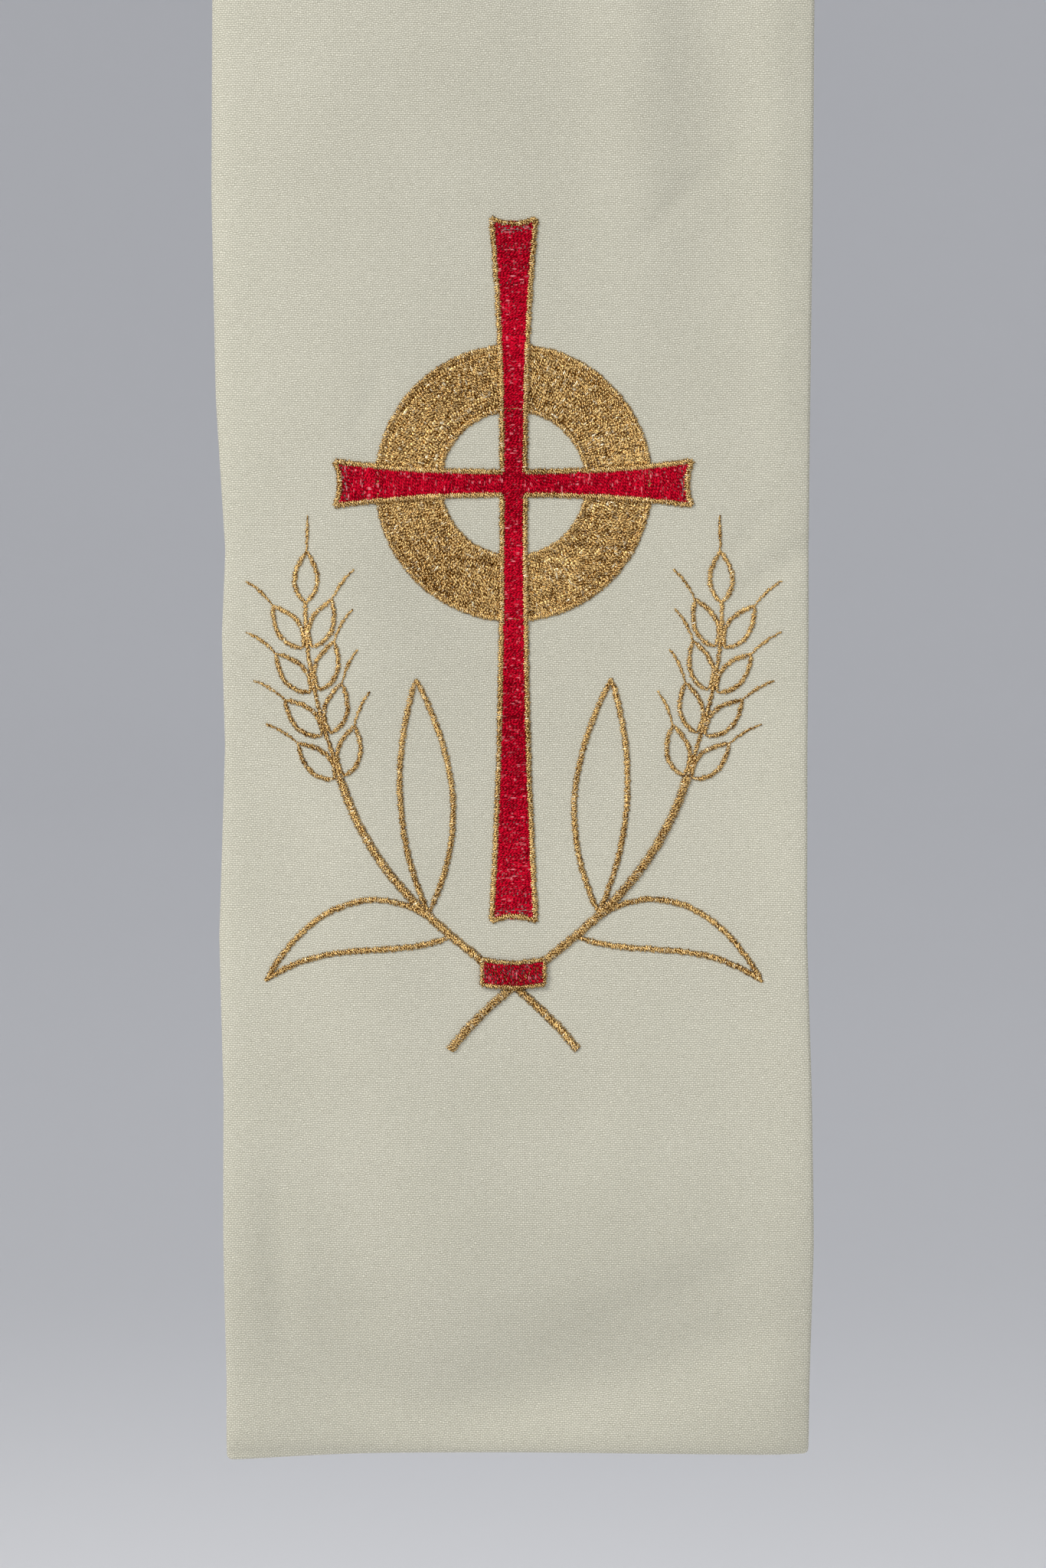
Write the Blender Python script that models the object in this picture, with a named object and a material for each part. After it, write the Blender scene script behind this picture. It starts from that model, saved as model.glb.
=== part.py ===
"""A clerical stole in the form it has when worn: two long bands of ivory cloth that meet in a mitred seam
on the upper back, pass over the shoulders beside the neck, and hang down the front to the knee.

Frame: +Z is up, the wearer faces -Y, and +X is the wearer's left. The origin is the notch of the back seam,
on its inner end, where the stole rests against the nape. The sizes below are in millimetres.
"""

import math
from collections import namedtuple

import bmesh
import bpy
import numpy as np

MM = 0.001

# The cut of one band
BAND_LENGTH = 1300.0  # along its middle, from the seam to the hem
HEM_WIDTH = 141.0
NECK_WIDTH = 97.0
TAPER_BEGINS = 170.0  # along the band, where it starts to widen
TAPER_ENDS = 640.0
WALL = 1.8  # face cloth, interlining and turned edges together
SEAM_GAP = 0.3
HEM_DROP = 1.9  # how much lower the hem hangs at the neck edge than at the outer edge
HEM_DROP_HEIGHT = 60.0

# The general figure that the bands lie on. Its back, shoulder and chest are one rolled sheet whose straight
# lines all run along the shoulder, so a flat band wraps over it without stretching.
SHOULDER_SLOPE = math.radians(27.0)
BACK_LEAN = math.radians(11.0)
SHOULDER_RADIUS = 50.0
CHEST_FALL = math.radians(52.0)
CHEST_RUN = 58.0
CHEST_RADIUS = 175.0
BAND_MIDDLE_X = 128.0  # the middle of a hanging band, from the wearer's middle

# The grid that the cloth is drawn on
ACROSS_STEPS = 16
EDGE_STEPS = 2
SHOULDER_STEP = 11.0
HANGING_STEP = 21.0
SHOULDER_ENDS = 420.0  # along the band
SQUARED_BY = 190.0  # along the band, where the rows have turned from the mitre to square

IVORY = (0.60, 0.57, 0.47, 1.0)

# How far the edges are drawn in at a height above the hem, where close stitching gathers the cloth
EdgeRow = namedtuple("EdgeRow", "above_hem inner outer")
EDGE_ROWS = (
    EdgeRow(0.0, 2.2, 0.9),
    EdgeRow(18.0, 1.9, 0.1),
    EdgeRow(52.0, 1.4, -0.7),
    EdgeRow(88.0, 1.2, -0.2),
    EdgeRow(125.0, 1.5, 0.9),
    EdgeRow(170.0, 2.3, 1.3),
    EdgeRow(216.0, 2.8, 1.0),
    EdgeRow(252.0, 1.0, 0.7),
    EdgeRow(300.0, 0.2, 0.2),
    EdgeRow(345.0, 0.0, 0.0),
)

# Soft folds. A fold is a trough (depth below 0) or a ridge, centred at a distance along the band and across
# it (positive is away from the neck), with its crest turned from the band's length by some degrees.
Fold = namedtuple("Fold", "along across length width turn depth")
LEFT_FOLDS = (
    Fold(330.0, -18.0, 190.0, 26.0, 24.0, 3.4),
    Fold(395.0, 26.0, 210.0, 24.0, 13.0, -2.6),
    Fold(560.0, -30.0, 330.0, 30.0, 4.0, -2.4),
    Fold(700.0, 30.0, 380.0, 34.0, -3.0, 2.6),
    Fold(905.0, 28.0, 300.0, 26.0, -2.0, -2.2),
    Fold(1010.0, -46.0, 340.0, 26.0, 1.0, 1.9),
    Fold(1261.0, 20.0, 120.0, 17.0, -74.0, -2.3),
    Fold(1190.0, -54.0, 240.0, 15.0, 1.0, -1.3),
)
RIGHT_FOLDS = (
    Fold(318.0, -10.0, 170.0, 24.0, 27.0, 3.1),
    Fold(410.0, 30.0, 230.0, 26.0, 11.0, -2.9),
    Fold(600.0, -26.0, 360.0, 32.0, -4.0, 2.5),
    Fold(790.0, 24.0, 340.0, 30.0, 3.0, -2.6),
    Fold(985.0, -34.0, 320.0, 28.0, 2.0, -2.1),
    Fold(1085.0, 36.0, 300.0, 28.0, -4.0, 2.2),
    Fold(1232.0, -14.0, 160.0, 22.0, -62.0, -2.0),
)

CROWN = 3.0  # how far the middle of a hanging band stands in front of its edges
SWAY = 5.0  # how far the hanging band swings back and forth along its length
SWAY_LENGTH = 930.0

ALONG_SHOULDER = np.array((math.cos(SHOULDER_SLOPE), 0.0, -math.sin(SHOULDER_SLOPE)))
UP_FROM_SHOULDER = np.array((math.sin(SHOULDER_SLOPE), 0.0, math.cos(SHOULDER_SLOPE)))
TO_BACK = np.array((0.0, 1.0, 0.0))


def smooth_step(low, high, value):
    """0 below low, 1 above high, and a smooth rise between them."""
    share = min(1.0, max(0.0, (value - low) / (high - low)))
    return share * share * (3.0 - 2.0 * share)


def band_width(along):
    return NECK_WIDTH + (HEM_WIDTH - NECK_WIDTH) * smooth_step(TAPER_BEGINS, TAPER_ENDS, along)


def drawn_in(along):
    """How far the inner and the outer edge are drawn in, at a distance along the band."""
    above_hem = BAND_LENGTH - along
    heights = [row.above_hem for row in EDGE_ROWS]
    inner = np.interp(above_hem, heights, [row.inner for row in EDGE_ROWS])
    outer = np.interp(above_hem, heights, [row.outer for row in EDGE_ROWS])
    return float(inner), float(outer)


def across_at(along, share):
    """The distance across the band, from its middle, of a share from -1 (neck edge) to 1 (outer edge)."""
    half = band_width(along) / 2.0
    inner, outer = drawn_in(along)
    low = -half + inner
    high = half - outer
    return low + (high - low) * (share + 1.0) / 2.0


def shoulder_profile(distance):
    """The roll of the figure, seen along the shoulder: (back, up, heading) at a distance from the start of
    the shoulder's round, below 0 on the straight back. The heading is 90 degrees up, 0 to the front."""
    heading = math.pi / 2.0 - BACK_LEAN
    if distance <= 0.0:
        return -distance * math.cos(heading), distance * math.sin(heading), heading
    back = 0.0
    up = 0.0
    pieces = (
        (SHOULDER_RADIUS, -CHEST_FALL),
        (None, CHEST_RUN),
        (CHEST_RADIUS, -math.pi / 2.0),
    )
    for radius, value in pieces:
        length = value if radius is None else radius * (heading - value)
        used = min(distance, length)
        if radius is None:
            back -= used * math.cos(heading)
            up += used * math.sin(heading)
        else:
            turned = heading - used / radius
            back -= radius * (math.sin(heading) - math.sin(turned))
            up += radius * (math.cos(turned) - math.cos(heading))
            heading = turned
        distance -= used
        if distance <= 0.0:
            return back, up, heading
    return back, up - distance, -math.pi / 2.0


def fold_relief(folds, along, across):
    relief = 0.0
    for fold in folds:
        turn = math.radians(fold.turn)
        down = along - fold.along
        out = across - fold.across
        lengthwise = down * math.cos(turn) + out * math.sin(turn)
        sideways = out * math.cos(turn) - down * math.sin(turn)
        ends = math.exp(-((lengthwise / (0.5 * fold.length)) ** 4))
        relief += fold.depth * ends * math.exp(-((sideways / fold.width) ** 2))
    return relief


def hanging_relief(along, across):
    """The crown and the sway of the stretch that hangs free."""
    hangs = smooth_step(260.0, 620.0, along)
    share = across / (band_width(along) / 2.0)
    crown = CROWN * (1.0 - share * share)
    sway = SWAY * math.sin(2.0 * math.pi * (along - TAPER_BEGINS) / SWAY_LENGTH)
    return hangs * (crown + sway)


class Band:
    """One band. side is 1 for the wearer's left and -1 for the right, which is its mirror image but for
    the folds."""

    def __init__(self, side, folds):
        self.side = side
        self.folds = folds
        # A band that hangs straight down the front keeps one heading in the rolled sheet.
        self.sheet_along = math.sin(SHOULDER_SLOPE)
        self.sheet_over = math.cos(SHOULDER_SLOPE)
        self.shift = np.zeros(3)
        self.start_over = 0.0
        self.start_along = 0.0
        self.find_start()
        notch = self.point(self.seam_start(-1.0, 0.0), -NECK_WIDTH / 2.0, 0.0)
        self.shift = -np.array((0.0, notch[1], notch[2]))

    def find_start(self):
        """Finds how low on the back the band starts, so that its middle meets the seam there."""
        low, high = -500.0, 0.0
        for _ in range(60):
            self.start_over = (low + high) / 2.0
            self.start_along = self.start_for_middle()
            if self.point(0.0, 0.0, 0.0)[0] < SEAM_GAP / 2.0:
                low = self.start_over
            else:
                high = self.start_over

    def start_for_middle(self):
        """Where along the shoulder the band starts, so that its middle hangs at BAND_MIDDLE_X."""
        over = self.start_over + BAND_LENGTH * self.sheet_over
        up = shoulder_profile(over)[1]
        reached = (BAND_MIDDLE_X - up * math.sin(SHOULDER_SLOPE)) / math.cos(SHOULDER_SLOPE)
        return reached - BAND_LENGTH * self.sheet_along

    def point(self, along, across, out):
        """The point at a distance along and across the flat band, moved out from the figure, for the
        wearer's left."""
        over = self.start_over + along * self.sheet_over - across * self.sheet_along
        sideways = self.start_along + along * self.sheet_along + across * self.sheet_over
        back, up, heading = shoulder_profile(over)
        outward = math.sin(heading) * TO_BACK + math.cos(heading) * UP_FROM_SHOULDER
        relief = fold_relief(self.folds, along, across) + hanging_relief(along, across)
        place = sideways * ALONG_SHOULDER + back * TO_BACK + up * UP_FROM_SHOULDER
        return place + self.shift + (out + relief) * outward

    def seam_start(self, share, out):
        """The distance along the band at which it meets the seam. It is below 0 towards the outer edge."""
        across = share * NECK_WIDTH / 2.0
        low, high = -160.0, 160.0
        for _ in range(60):
            middle = (low + high) / 2.0
            if self.point(middle, across, out)[0] < SEAM_GAP / 2.0:
                low = middle
            else:
                high = middle
        return (low + high) / 2.0

    def place(self, row, share, out):
        """A point of the wall, in metres. row is the distance along the band if it began square."""
        early = 1.0 - smooth_step(0.0, SQUARED_BY, row)
        late = smooth_step(BAND_LENGTH - HEM_DROP_HEIGHT, BAND_LENGTH, row)
        inward = (1.0 - share) / 2.0
        along = row + early * self.seam_start(share, out) + late * HEM_DROP * inward * inward
        x, y, z = self.point(along, across_at(along, share), out)
        return self.side * x * MM, y * MM, z * MM


def row_distances():
    """Where the rows of the grid lie along the band, closest over the shoulder."""
    distances = [0.0]
    while distances[-1] < BAND_LENGTH - WALL:
        step = SHOULDER_STEP if distances[-1] < SHOULDER_ENDS else HANGING_STEP
        distances.append(distances[-1] + step)
    scale = (BAND_LENGTH - WALL / 2.0) / distances[-1]
    return [distance * scale for distance in distances]


def wall_rings(band):
    """The closed rings of points round the wall, from the seam to the rounded hem."""
    radius = WALL / 2.0
    shares = [-1.0 + 2.0 * step / ACROSS_STEPS for step in range(ACROSS_STEPS + 1)]
    edge_angles = [math.pi * step / (EDGE_STEPS + 1) for step in range(1, EDGE_STEPS + 1)]
    rows = [(distance, 1.0) for distance in row_distances()]
    hem = BAND_LENGTH - radius
    rows += [(hem + radius * math.sin(turn), math.cos(turn)) for turn in (0.6, 1.15)]
    rings = []
    for distance, thickness in rows:
        half_wall = radius * thickness
        inset = 1.0 - 2.0 * radius / band_width(distance)
        ring = [(share * inset, half_wall) for share in shares]
        for angle in edge_angles:
            ring.append((inset + (1.0 - inset) * math.sin(angle), half_wall * math.cos(angle)))
        ring += [(share * inset, -half_wall) for share in reversed(shares)]
        for angle in edge_angles:
            ring.append((-inset - (1.0 - inset) * math.sin(angle), -half_wall * math.cos(angle)))
        rings.append([band.place(distance, share, out) for share, out in ring])
    return rings


def close_ring(mesh, ring, front_count, edge_count):
    """Closes the wall's end with faces from its outer row of points to its inner row."""
    total = len(ring)
    for step in range(front_count - 1):
        back = front_count + edge_count + (front_count - 1 - step)
        mesh.faces.new((ring[step], ring[step + 1], ring[back - 1], ring[back]))
    first_back = front_count + edge_count
    mesh.faces.new([ring[index] for index in range(front_count - 1, first_back + 1)])
    mesh.faces.new([ring[index % total] for index in range(first_back + front_count - 1, total + 1)])


def cloth_material():
    material = bpy.data.materials.new("ivory_cloth")
    material.use_nodes = True
    shader = material.node_tree.nodes["Principled BSDF"]
    shader.inputs["Base Color"].default_value = IVORY
    shader.inputs["Roughness"].default_value = 0.8
    shader.inputs["Metallic"].default_value = 0.0
    return material


def make_band(name, band, material):
    mesh = bmesh.new()
    rings = [[mesh.verts.new(point) for point in ring] for ring in wall_rings(band)]
    count = len(rings[0])
    for ring, following in zip(rings, rings[1:]):
        for index in range(count):
            after = (index + 1) % count
            mesh.faces.new((ring[index], ring[after], following[after], following[index]))
    for ring in (rings[0], rings[-1]):
        close_ring(mesh, ring, ACROSS_STEPS + 1, EDGE_STEPS)
    bmesh.ops.recalc_face_normals(mesh, faces=mesh.faces)
    data = bpy.data.meshes.new(name)
    mesh.to_mesh(data)
    mesh.free()
    data.shade_smooth()
    data.materials.append(material)
    made = bpy.data.objects.new(name, data)
    bpy.context.scene.collection.objects.link(made)
    return made


def main():
    for old in list(bpy.data.objects):
        bpy.data.objects.remove(old)
    material = cloth_material()
    make_band("left_band", Band(1, LEFT_FOLDS), material)
    make_band("right_band", Band(-1, RIGHT_FOLDS), material)


main()
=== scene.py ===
# %% [markdown]
# A clerical stole, as it hangs when worn
#
# The stole is two long bands of ivory cloth. They meet in a mitred seam on the upper back, pass over the
# shoulders beside the neck, and hang down the front to the knee. One end carries embroidery in gold and red.
#
# The solids of both bands are loaded first, as a frame that stays put. Everything after this is made round
# them, in metres, with +Z up, the wearer facing -Y, and the origin at the nape.

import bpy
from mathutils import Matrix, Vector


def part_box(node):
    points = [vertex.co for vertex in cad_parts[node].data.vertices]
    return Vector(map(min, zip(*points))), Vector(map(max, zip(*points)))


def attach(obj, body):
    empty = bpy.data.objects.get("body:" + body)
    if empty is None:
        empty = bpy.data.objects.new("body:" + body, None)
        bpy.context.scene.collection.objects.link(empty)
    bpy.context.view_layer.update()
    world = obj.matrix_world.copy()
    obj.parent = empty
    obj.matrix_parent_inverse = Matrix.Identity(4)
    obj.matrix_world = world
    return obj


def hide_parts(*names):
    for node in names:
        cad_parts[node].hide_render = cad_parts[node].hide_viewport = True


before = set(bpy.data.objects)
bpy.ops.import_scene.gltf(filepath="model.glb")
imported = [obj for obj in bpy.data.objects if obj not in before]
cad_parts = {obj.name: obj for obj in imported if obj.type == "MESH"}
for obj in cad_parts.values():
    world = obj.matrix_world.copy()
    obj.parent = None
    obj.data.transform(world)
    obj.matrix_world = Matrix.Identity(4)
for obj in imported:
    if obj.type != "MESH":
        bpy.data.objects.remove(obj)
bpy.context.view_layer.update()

# %% Tools from Blender and Python
import math
from collections import namedtuple

import bpy
import numpy as np
from mathutils import Vector

MM = 0.001
chance = np.random.default_rng(29)

# %% [markdown]
# The camera
#
# The picture is a close-up of the embroidered end: it takes in 248 by 372 mm, from straight in front and a
# little above. A long lens from 1.3 m keeps the two edges of the band parallel, as they look in the picture.
# A short lens close by would give the same width but make the hem spread out.

# %% The camera
PICTURE_WIDE = 1366
PICTURE_HIGH = 2048
PIXELS_PER_MM = 5.5
HEM_MIDDLE_PIXEL = (671, 1900)
CAMERA_DISTANCE = 1.3
CAMERA_ELEVATION = math.radians(5.0)
BAND_MIDDLE_X = 128.0  # millimetres, as the next two
HEM_BEHIND_CHEST = 13.8
HEM_MIDDLE_UP = 3.2
SENSOR = 36.0
FARTHEST_SEEN = 60.0

left_low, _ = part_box("left_band")
hem_middle = Vector((BAND_MIDDLE_X * MM, left_low.y, left_low.z))
hem_middle += Vector((0.0, HEM_BEHIND_CHEST * MM, HEM_MIDDLE_UP * MM))
right_shift = (PICTURE_WIDE / 2 - HEM_MIDDLE_PIXEL[0]) / PIXELS_PER_MM * MM
up_shift = (HEM_MIDDLE_PIXEL[1] - PICTURE_HIGH / 2) / PIXELS_PER_MM * MM
aim = hem_middle + Vector((right_shift, 0.0, up_shift))
toward_camera = Vector((0.0, -math.cos(CAMERA_ELEVATION), math.sin(CAMERA_ELEVATION)))

lens = bpy.data.cameras.new("camera")
lens.sensor_width = SENSOR
lens.lens = SENSOR * CAMERA_DISTANCE / (PICTURE_HIGH / PIXELS_PER_MM * MM)
lens.clip_end = FARTHEST_SEEN
camera = bpy.data.objects.new("camera", lens)
camera.location = aim + toward_camera * CAMERA_DISTANCE
camera.rotation_euler = toward_camera.to_track_quat("Z", "Y").to_euler()
bpy.context.scene.collection.objects.link(camera)
bpy.context.scene.camera = camera
bpy.context.scene.view_settings.view_transform = "Standard"
print("lens", round(lens.lens, 1), "mm, aimed at", [round(value, 3) for value in aim])

# %% [markdown]
# Mesh from arrays
#
# Both the cloth and the thread are grids of points that follow a rule. Blender's operators would make them
# face by face. Filling a mesh from number arrays makes the same thing in one go, which matters here, because
# the embroidery has thousands of stitches.

# %% Mesh from arrays
def make_piece(name, points, faces, maps):
    """A mesh object. faces is a list of arrays of point numbers, all triangles or all quads in each, and
    maps gives for each UV map one pair of numbers for each corner of these faces."""
    data = bpy.data.meshes.new(name)
    corners = np.concatenate([block.ravel() for block in faces])
    sides = np.concatenate([np.full(len(block), block.shape[1]) for block in faces])
    first = np.concatenate(([0], np.cumsum(sides)[:-1]))
    data.vertices.add(len(points))
    data.vertices.foreach_set("co", np.asarray(points, np.float32).ravel())
    data.loops.add(len(corners))
    data.loops.foreach_set("vertex_index", corners.astype(np.int32))
    data.polygons.add(len(sides))
    data.polygons.foreach_set("loop_start", first.astype(np.int32))
    data.update(calc_edges=True)
    for map_name, places in maps.items():
        layer = data.uv_layers.new(name=map_name)
        layer.uv.foreach_set("vector", np.asarray(places, np.float32).ravel())
    data.shade_smooth()
    made = bpy.data.objects.new(name, data)
    bpy.context.scene.collection.objects.link(made)
    return made


def triangle_count(made):
    return sum(len(face.vertices) - 2 for face in made.data.polygons)


# %% [markdown]
# The studio
#
# The stole hangs in a plain pale studio. A photographer's cyclorama is a floor that turns up into a wall
# with no corner. Turning that profile round the stole gives a wide shallow bowl, so it looks the same from
# every side and no edge of it shows behind the cloth.

# %% The floor
FLOOR_BELOW_HEM = 0.36
FLOOR_RADIUS = 9.0
WALL_TURN = 3.5
WALL_HEIGHT = 3.0
ROUND_STEPS = 72
TURN_STEPS = 12
FLAT_RINGS = (0.4, 2.0, FLOOR_RADIUS - WALL_TURN)

profile = [(radius, 0.0) for radius in FLAT_RINGS]
for step in range(1, TURN_STEPS + 1):
    turn = math.pi / 2.0 * step / TURN_STEPS
    profile.append((FLOOR_RADIUS - WALL_TURN * (1.0 - math.sin(turn)), WALL_TURN * (1.0 - math.cos(turn))))
profile.append((FLOOR_RADIUS, WALL_TURN + WALL_HEIGHT))
floor_z = left_low.z - FLOOR_BELOW_HEM
floor_points = [(0.0, 0.0, floor_z)]
for radius, height in profile:
    for step in range(ROUND_STEPS):
        turn = 2.0 * math.pi * step / ROUND_STEPS
        floor_points.append((radius * math.cos(turn), radius * math.sin(turn), floor_z + height))
around = np.arange(ROUND_STEPS)
following = (around + 1) % ROUND_STEPS
middle_faces = np.stack((np.zeros_like(around), 1 + around, 1 + following), 1)
ring_faces = []
for ring in range(len(profile) - 1):
    low = 1 + ring * ROUND_STEPS
    high = low + ROUND_STEPS
    ring_faces.append(np.stack((low + around, high + around, high + following, low + following), 1))
floor = make_piece("studio_floor", floor_points, [middle_faces] + ring_faces, {})
print("floor at z =", round(floor_z, 3))

# %% [markdown]
# The light
#
# The picture is lit by one large soft light from the upper left and by pale light from all round. The band's
# left side is a little brighter than its right side, and the folds shade softly. Two area lamps and an even
# world give both. A sun or a point lamp would throw hard shadows that aren't there. One more softbox lights
# the back, which the picture doesn't show. Each has a grid, which narrows its light so that little of it
# reaches the floor.

# %% The light
Lamp = namedtuple("Lamp", "name away width height grid watts colour")
LAMPS = (
    Lamp("key_softbox", (-1.45, -1.30, 1.25), 0.9, 1.2, 110.0, 11.6, (1.0, 0.985, 0.96)),
    Lamp("front_softbox", (0.80, -2.20, 0.60), 1.6, 1.6, 110.0, 3.2, (0.97, 0.985, 1.0)),
    Lamp("back_softbox", (-0.90, 2.30, 1.50), 1.4, 1.4, 75.0, 6.0, (1.0, 0.99, 0.975)),
)
for lamp in LAMPS:
    light = bpy.data.lights.new(lamp.name, "AREA")
    light.shape = "RECTANGLE"
    light.size = lamp.width
    light.size_y = lamp.height
    light.spread = math.radians(lamp.grid)
    light.energy = lamp.watts
    light.color = lamp.colour
    placed = bpy.data.objects.new(lamp.name, light)
    placed.location = aim + Vector(lamp.away)
    placed.rotation_euler = Vector(lamp.away).to_track_quat("Z", "Y").to_euler()
    bpy.context.scene.collection.objects.link(placed)

WORLD_COLOUR = (0.93, 0.95, 1.0, 1.0)
WORLD_STRENGTH = 0.59
world = bpy.data.worlds.new("studio_air")
world.use_nodes = True
background = world.node_tree.nodes["Background"]
background.inputs["Color"].default_value = WORLD_COLOUR
background.inputs["Strength"].default_value = WORLD_STRENGTH
bpy.context.scene.world = world
print("lamps:", ", ".join(lamp.name for lamp in LAMPS))

# %% [markdown]
# Shader maths
#
# A weave or a twist of thread is a sum. In Blender's shader editor a sum is a chain of Math nodes, which is
# slow to lay out and hard to read. The small class below wraps one socket, so that an expression such as
# 1 - mask adds the nodes by itself. Any other node comes from its node method.

# %% Shader maths
class Signal:
    """One output socket of a material's nodes."""

    def __init__(self, tree, socket):
        self.tree = tree
        self.socket = socket

    @staticmethod
    def node(tree, kind, settings=(), sockets=(), output=0):
        """Adds a node: first its settings, then the values or links of its sockets, by name or number."""
        made = tree.nodes.new(kind)
        for name, value in dict(settings).items():
            setattr(made, name, value)
        for name, value in dict(sockets).items():
            if isinstance(value, Signal):
                tree.links.new(value.socket, made.inputs[name])
            else:
                made.inputs[name].default_value = value
        return Signal(tree, made.outputs[output])

    def math(self, operation, *values):
        sockets = dict(enumerate(values))
        return Signal.node(self.tree, "ShaderNodeMath", {"operation": operation}, sockets)

    def __add__(self, other):
        return self.math("ADD", self, other)

    def __radd__(self, other):
        return self.math("ADD", other, self)

    def __sub__(self, other):
        return self.math("SUBTRACT", self, other)

    def __rsub__(self, other):
        return self.math("SUBTRACT", other, self)

    def __mul__(self, other):
        return self.math("MULTIPLY", self, other)

    def __rmul__(self, other):
        return self.math("MULTIPLY", other, self)

    def __truediv__(self, other):
        return self.math("DIVIDE", self, other)

    def __rtruediv__(self, other):
        return self.math("DIVIDE", other, self)

    def feed(self, other, name):
        """Links this socket to a socket of another node."""
        self.tree.links.new(self.socket, other.inputs[name])

    def floor(self):
        return self.math("FLOOR", self)

    def wave(self):
        """The sine of this number of half turns."""
        return self.math("SINE", self * math.pi)

    def size(self):
        return self.math("ABSOLUTE", self)


def new_material(name):
    """A material with its node tree and its Principled shader."""
    material = bpy.data.materials.new(name)
    material.use_nodes = True
    tree = material.node_tree
    return material, tree, tree.nodes["Principled BSDF"]


def map_pair(tree, map_name):
    """The two numbers of a UV map."""
    place = Signal.node(tree, "ShaderNodeUVMap", {"uv_map": map_name})
    sideways = Signal.node(tree, "ShaderNodeSeparateXYZ", {}, {0: place}, 0)
    lengthways = Signal(tree, sideways.socket.node.outputs[1])
    return sideways, lengthways


def noise(tree, x, y, z, detail=1.0):
    """A smooth random number from 0 to 1 at a place."""
    place = Signal.node(tree, "ShaderNodeCombineXYZ", {}, {0: x, 1: y, 2: z})
    sockets = {"Vector": place, "Scale": 1.0, "Detail": detail}
    return Signal.node(tree, "ShaderNodeTexNoise", {"noise_dimensions": "3D"}, sockets)


def mix_colour(tree, share, low, high):
    """A colour between two, nearer to the second as share grows from 0 to 1."""
    sockets = {0: share, 6: low, 7: high}
    return Signal.node(tree, "ShaderNodeMix", {"data_type": "RGBA"}, sockets, 2)


def bump(tree, strength, distance, height):
    """A surface direction, bent by a height of 0 to 1 as if it stood up by this distance."""
    sockets = {"Strength": strength, "Distance": distance, "Height": height}
    return Signal.node(tree, "ShaderNodeBump", {}, sockets)


# %% The floor's paint
PAINT_DARK = (0.80, 0.80, 0.81, 1.0)
PAINT_LIGHT = (0.83, 0.83, 0.84, 1.0)

floor_paint, tree, shader = new_material("studio_paint")
place = Signal.node(tree, "ShaderNodeNewGeometry")
mottle = Signal.node(tree, "ShaderNodeTexNoise", {}, {"Vector": place, "Scale": 0.7, "Detail": 2.0})
paint = mix_colour(tree, mottle, PAINT_DARK, PAINT_LIGHT)
paint.feed(shader, "Base Color")
shader.inputs["Roughness"].default_value = 0.9
floor.data.materials.append(floor_paint)
print("the floor's paint has", len(tree.nodes), "nodes")

# %% [markdown]
# The cut of a band
#
# Each band is a straight strip of cloth, 97 mm wide at the neck and 141 mm at the hem, with one end cut at a
# slant for the mitre. Cloth bends easily but hardly stretches, so its shape on the wearer is found by rolling
# the flat strip over a general figure, not by pulling a mesh about. The back, shoulder and chest of that
# figure are one rolled sheet, whose straight lines all run down the slope of the shoulder.

# %% The cut of a band
BAND_LENGTH = 1300.0  # along its middle, in millimetres, as all sizes of the cloth here
HEM_WIDTH = 141.0
NECK_WIDTH = 97.0
TAPER_BEGINS = 170.0
TAPER_ENDS = 640.0
HALF_WALL = 0.9
SEAM_GAP = 0.1
HEM_DROP = 1.9  # how much lower the hem is at the inner edge
HEM_DROP_HEIGHT = 60.0
HEM_CORNER = 1.3
SQUARED_BY = 190.0  # where the rows, slanted at the seam, have become square to the band

EDGE_HEIGHTS = (0.0, 18.0, 52.0, 88.0, 125.0, 170.0, 196.0, 216.0, 252.0, 300.0, 345.0)  # above the hem
# How far close stitching draws each edge in at these heights
INNER_DRAWN = (1.7, 1.9, 1.6, 1.9, 0.9, 2.3, 1.6, 2.5, 0.3, -0.6, -0.2)
OUTER_DRAWN = (0.1, 0.1, -0.4, 0.3, 1.4, 1.3, 1.0, 1.0, 0.7, 0.2, 0.0)


def smooth_step(low, high, value):
    share = np.clip((value - low) / (high - low), 0.0, 1.0)
    return share * share * (3.0 - 2.0 * share)


def band_width(along):
    return NECK_WIDTH + (HEM_WIDTH - NECK_WIDTH) * smooth_step(TAPER_BEGINS, TAPER_ENDS, along)


def across_at(along, share):
    """How far from the band's middle a share from -1 (inner edge) to 1 (outer edge) lies."""
    inner = np.interp(BAND_LENGTH - along, EDGE_HEIGHTS, INNER_DRAWN)
    outer = np.interp(BAND_LENGTH - along, EDGE_HEIGHTS, OUTER_DRAWN)
    low = inner - band_width(along) / 2.0
    high = band_width(along) / 2.0 - outer
    return low + (high - low) * (share + 1.0) / 2.0


print("hem", HEM_WIDTH, "mm wide, neck", NECK_WIDTH, "mm wide")

# %% [markdown]
# Folds and creases
#
# Hanging cloth is never flat. It has long soft folds that start at the shoulder, a slow sway, and small
# creases where the stitching draws it in or where it was pressed. A cloth simulation could find such folds,
# but not these ones, so each is listed as a soft trough or ridge. A row gives how far down the band
# its middle lies, how far across, its length and width, how many degrees its crest is turned, and how far it
# stands up.

# %% The long folds
Fold = namedtuple("Fold", "along across length width turn depth")


def folds(*rows):
    return tuple(Fold(*row) for row in rows)


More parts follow.
